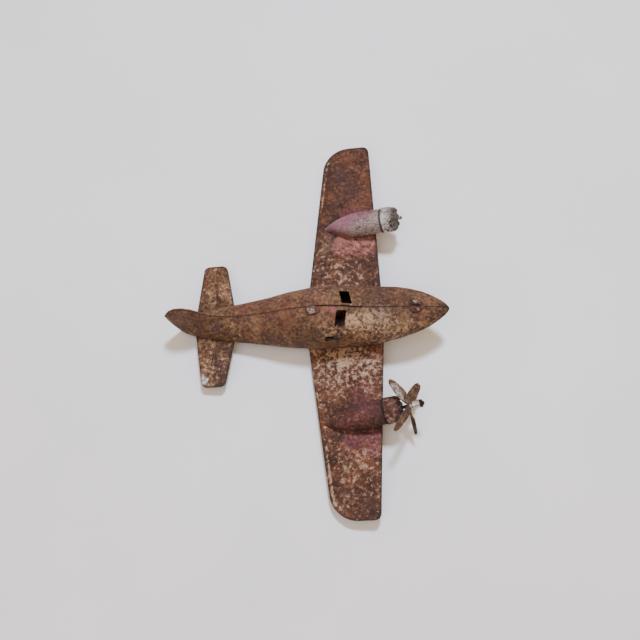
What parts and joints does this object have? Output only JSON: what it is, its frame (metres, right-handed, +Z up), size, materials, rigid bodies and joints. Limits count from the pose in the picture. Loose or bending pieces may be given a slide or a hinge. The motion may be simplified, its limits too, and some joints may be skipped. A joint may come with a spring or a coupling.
{
  "type": "toy aeroplane",
  "caption": "Old pressed-steel toy aeroplane: low-wing twin-engine monoplane with spinning propeller and rolling wheels, parked tail down.",
  "frame": {"origin": "centre of the bounding box in plan, on the ground plane under wheels and tail", "axes": "+X towards the nose, +Y to the aeroplane's left along the wing, +Z up"},
  "size_m": [0.174, 0.248, 0.0402],
  "materials": {
    "fuselage_steel": "rusted pressed steel with worn cream paint",
    "wing_steel": "rusted pressed steel with worn cream paint",
    "nacelle_steel": "rusted pressed steel with worn silver and pink paint",
    "cowl_silver": "worn silver paint over rust",
    "cowl_rusted": "rusted pressed steel",
    "propeller_steel": "dull brown stamped steel",
    "pin_steel": "plain steel",
    "bright_sleeve": "bright turned metal",
    "bracket_steel": "rusted steel",
    "wheel_wood": "dark painted turned wood"
  },
  "bodies": {
    "airframe": {"fuselage_left_half": "fuselage_steel", "fuselage_right_half": "fuselage_steel", "wing_panel": "wing_steel", "tailplane": "wing_steel", "nacelle_left": "nacelle_steel", "nacelle_right": "nacelle_steel", "cowl_left": "cowl_silver", "cowl_right": "cowl_rusted", "propeller_pin": "pin_steel", "pin_sleeve": "bright_sleeve", "left_pin_stub": "pin_steel", "gear_bracket_left": "bracket_steel", "gear_bracket_right": "bracket_steel", "axle_left": "pin_steel", "axle_right": "pin_steel"},
    "propeller": {"propeller": "propeller_steel"},
    "wheel_left": {"wheel_left": "wheel_wood"},
    "wheel_right": {"wheel_right": "wheel_wood"}
  },
  "joints": [
    {"name": "propeller_spin", "type": "hinge", "parent": "airframe", "child": "propeller", "pos_m": [0.0607, -0.05939, 0.02448], "axis": [0.9383, 0.1113, 0.3274], "continuous": true},
    {"name": "wheel_left_roll", "type": "hinge", "parent": "airframe", "child": "wheel_left", "pos_m": [0.03424, 0.0646, 0.007], "axis": [0, 1, 0], "continuous": true},
    {"name": "wheel_right_roll", "type": "hinge", "parent": "airframe", "child": "wheel_right", "pos_m": [0.03424, -0.0623, 0.007], "axis": [0, 1, 0], "continuous": true}
  ]
}
